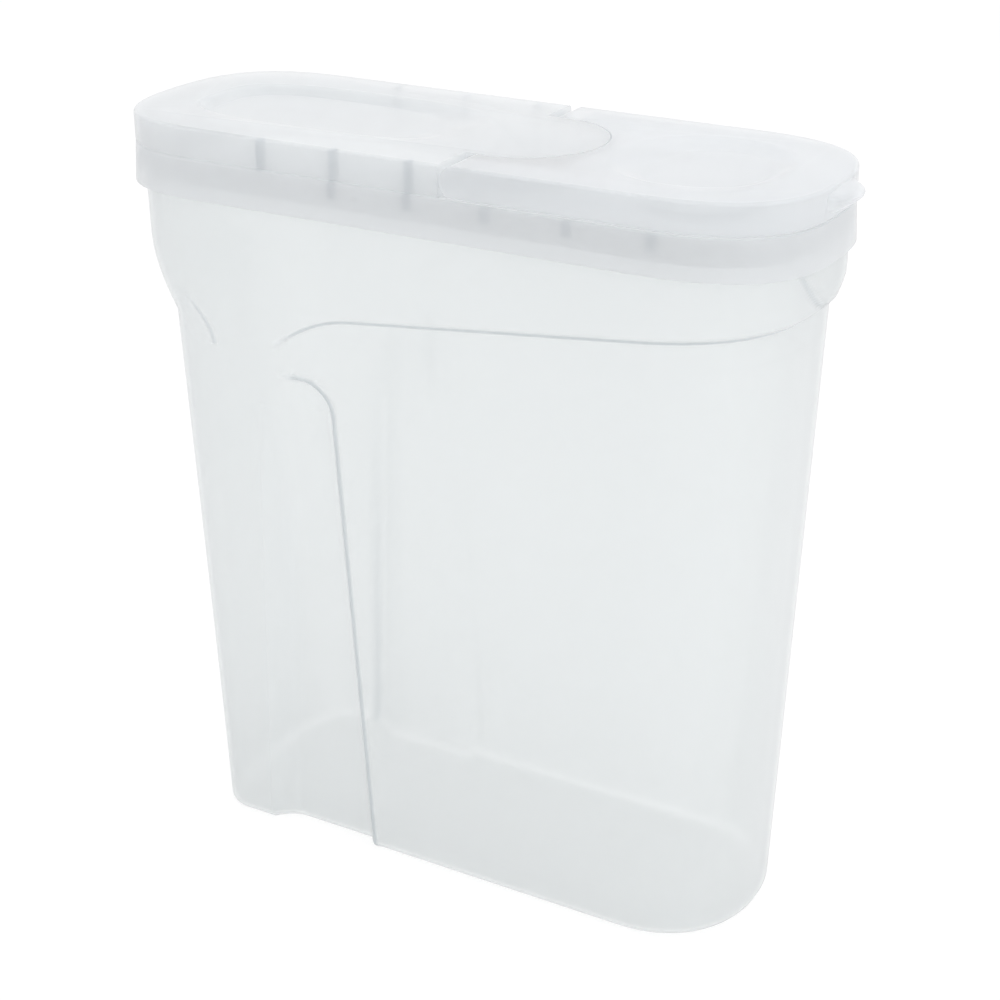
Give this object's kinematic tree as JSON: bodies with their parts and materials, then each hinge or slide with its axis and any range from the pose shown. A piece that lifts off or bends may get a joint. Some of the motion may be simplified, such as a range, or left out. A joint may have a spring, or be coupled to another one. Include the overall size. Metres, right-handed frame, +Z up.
{
  "type": "cereal container",
  "caption": "Tall narrow dry-food container with side grip recesses, a press-on lid and a hinged pouring flap flush with the lid.",
  "frame": {"origin": "on the base plane, under the middle of the lid", "axes": "+X towards the pouring end, +Y across the narrow width, +Z up"},
  "size_m": [0.2929, 0.1038, 0.3021],
  "materials": {
    "container_plastic": "frosted clear polypropylene, smooth inside and out",
    "lid_plastic": "frosted clear polypropylene, slightly bluish",
    "flap_plastic": "frosted clear polypropylene, slightly bluish"
  },
  "bodies": {
    "container": {"container": "container_plastic"},
    "lid": {"lid": "lid_plastic"},
    "flap": {"flap": "flap_plastic"}
  },
  "joints": [
    {"name": "lid_lift", "type": "slide", "parent": "container", "child": "lid", "axis": [0, 0, 1], "range_m": [0, 0.06]},
    {"name": "flap_hinge", "type": "hinge", "parent": "lid", "child": "flap", "pos_m": [0.0185, 0, 0.2963], "axis": [0, -1, 0], "range_deg": [0, 90]}
  ]
}
